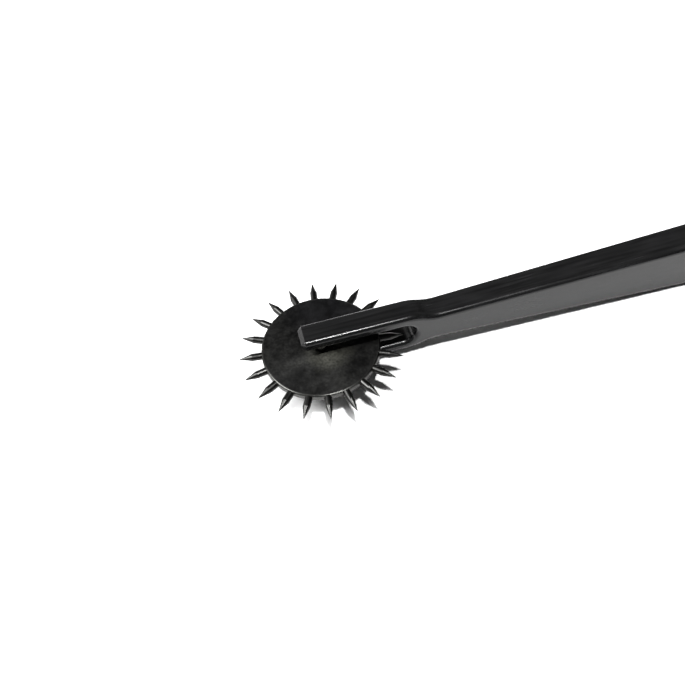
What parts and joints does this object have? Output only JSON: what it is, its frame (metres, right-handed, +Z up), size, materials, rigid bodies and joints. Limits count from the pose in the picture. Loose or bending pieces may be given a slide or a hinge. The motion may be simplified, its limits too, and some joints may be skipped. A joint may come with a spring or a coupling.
{
  "type": "tracing wheel",
  "caption": "Tracing wheel with a flat disc of radial needle points that spins in the fork of a tapered one-piece black metal handle.",
  "frame": {"origin": "on the surface the tool lies on, midway along its length and on the handle's centre line", "axes": "+X along the handle from the wheel to the grip, +Z up along the axle, +Y to the left seen along +X"},
  "size_m": [0.175, 0.0302, 0.0124],
  "materials": {
    "handle": "smooth semi-gloss black coating over cast metal",
    "disc": "blackened face with fine turning marks, paler near the hub",
    "needle": "black nickel plating on turned pins",
    "screw": "blackened steel",
    "washer": "plain steel",
    "hub": "blackened steel"
  },
  "bodies": {
    "handle": {"handle_fork": "handle", "axle_screw": "screw", "lower_washer": "washer"},
    "wheel": {"wheel_disc": "disc", "hub_bush": "hub", "upper_washer": "washer", "needle_01": "needle", "needle_02": "needle", "needle_03": "needle", "needle_04": "needle", "needle_05": "needle", "needle_06": "needle", "needle_07": "needle", "needle_08": "needle", "needle_09": "needle", "needle_10": "needle", "needle_11": "needle", "needle_12": "needle", "needle_13": "needle", "needle_14": "needle", "needle_15": "needle", "needle_16": "needle", "needle_17": "needle", "needle_18": "needle", "needle_19": "needle", "needle_20": "needle"}
  },
  "joints": [
    {"name": "wheel_spin", "type": "hinge", "parent": "handle", "child": "wheel", "pos_m": [-0.0724, 0, 0.00582], "axis": [0, 0, 1], "continuous": true}
  ]
}
